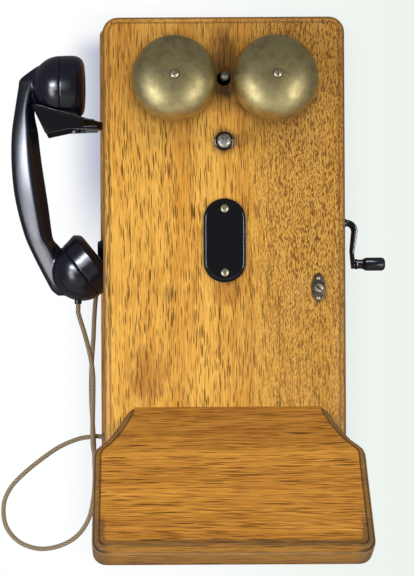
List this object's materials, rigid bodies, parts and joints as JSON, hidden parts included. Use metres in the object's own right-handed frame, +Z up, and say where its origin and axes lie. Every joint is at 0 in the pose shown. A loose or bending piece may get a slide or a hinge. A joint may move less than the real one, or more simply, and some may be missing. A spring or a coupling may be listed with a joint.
{
  "type": "wall telephone",
  "caption": "Oak wall telephone with a hinged front, two gongs, a crank, a sloping writing shelf and a corded handset on a side hook.",
  "frame": {"origin": "centre of the backboard's rear face, which lies flat on the wall", "axes": "+X to the right-hand side, where the crank is; +Y into the wall; +Z up"},
  "size_m": [0.3723, 0.2192, 0.5182],
  "materials": {
    "oak_case": "golden oak, varnished",
    "oak_door": "golden oak with quarter-sawn fleck, varnished and worn",
    "oak_shelf": "golden oak, worn varnish",
    "bright_brass": "plain brass",
    "aged_brass": "brass gone olive brown",
    "steel": "plain steel",
    "black_iron": "black japan",
    "capsule_metal": "spun metal can",
    "bakelite": "polished black bakelite",
    "silk_wire": "silk-covered wire",
    "cell_card": "waxed card sleeve",
    "cloth_cord": "braided cotton"
  },
  "bodies": {
    "case": {"backboard": "oak_case", "case_left_side": "oak_case", "case_right_side": "oak_case", "case_top": "oak_case", "case_bottom": "oak_case", "generator_shelf": "oak_case", "hinge_leaves_case": "bright_brass", "hinge_pins": "steel", "lock_strike": "bright_brass", "crank_bushing": "bright_brass", "generator_frame": "black_iron", "generator_pole_pieces": "black_iron", "generator_magnets": "black_iron", "generator_stay": "steel", "side_screw": "steel", "hook_switch_bracket": "steel", "hook_pivot_pin": "steel", "hook_switch_springs": "bright_brass", "induction_coil": "silk_wire", "condenser": "steel", "terminal_strip": "bakelite", "binding_posts": "bright_brass", "dry_cells": "cell_card", "cell_retainer": "oak_case", "mouthpiece_rest": "bakelite", "cord_bushing": "bakelite", "handset_cord": "cloth_cord"},
    "door": {"door_panel": "oak_door", "hinge_leaves_door": "bright_brass", "gong_left": "aged_brass", "gong_right": "aged_brass", "gong_posts": "steel", "gong_screws": "bright_brass", "ringer_frame": "steel", "ringer_coils": "silk_wire", "ringer_magnet": "black_iron", "blanking_plate": "black_iron", "plate_screws": "bright_brass", "button_bezel": "black_iron", "button_contacts": "bright_brass", "lock_plate": "black_iron", "lock_plate_screws": "steel", "writing_shelf": "oak_shelf", "shelf_brackets": "black_iron", "bracket_screws": "steel"},
    "clapper": {"ringer_armature": "steel", "clapper": "steel"},
    "button": {"push_button": "steel"},
    "latch": {"lock_barrel": "steel"},
    "hook": {"hook_lever": "black_iron"},
    "handset": {"handset_handle": "bakelite", "ear_cap": "bakelite", "receiver_capsule": "capsule_metal", "mouth_cap": "bakelite", "transmitter_capsule": "capsule_metal", "handset_cord_collar": "bakelite"},
    "crank": {"crank_arm": "black_iron", "drive_gear": "bright_brass"},
    "grip": {"crank_grip": "bakelite"},
    "armature": {"generator_armature": "steel"}
  },
  "joints": [
    {"name": "door_swing", "type": "hinge", "parent": "case", "child": "door", "pos_m": [-0.101, -0.1176, 0], "axis": [0, 0, -1], "range_deg": [0, 100]},
    {"name": "clapper_swing", "type": "hinge", "parent": "door", "child": "clapper", "pos_m": [0, -0.0713, 0.1856], "axis": [0, 0, 1], "range_deg": [-1.6, 1.6], "stiffness_Nm_per_rad": 0.02},
    {"name": "button_press", "type": "slide", "parent": "door", "child": "button", "axis": [0, 1, 0], "range_m": [0, 0.003], "stiffness_N_per_m": 300, "springref_m": -0.002},
    {"name": "latch_turn", "type": "hinge", "parent": "door", "child": "latch", "pos_m": [0.0835, -0.12, -0.0018], "axis": [0, -1, 0], "range_deg": [0, 90]},
    {"name": "handset_lift", "type": "slide", "parent": "case", "child": "handset", "axis": [-0.7, 0, 0.7141], "range_m": [0, 0.11]},
    {"name": "hook_swing", "type": "hinge", "parent": "case", "child": "hook", "pos_m": [-0.072, -0.065, 0.1526], "axis": [0, 1, 0], "range_deg": [0, 8]},
    {"name": "crank_turn", "type": "hinge", "parent": "case", "child": "crank", "pos_m": [0.062, -0.065, 0.0598], "axis": [1, 0, 0], "continuous": true},
    {"name": "grip_spin", "type": "hinge", "parent": "crank", "child": "grip", "pos_m": [0.1283, -0.065, 0.0205], "axis": [1, 0, 0], "continuous": true},
    {"name": "armature_spin", "type": "hinge", "parent": "case", "child": "armature", "pos_m": [0.062, -0.065, 0.0163], "axis": [1, 0, 0], "continuous": true}
  ],
  "couplings": [
    {"joint": "hook_swing", "follows": "handset_lift", "rad_per_m": 1.269},
    {"joint": "armature_spin", "follows": "crank_turn", "ratio": -4.8}
  ]
}
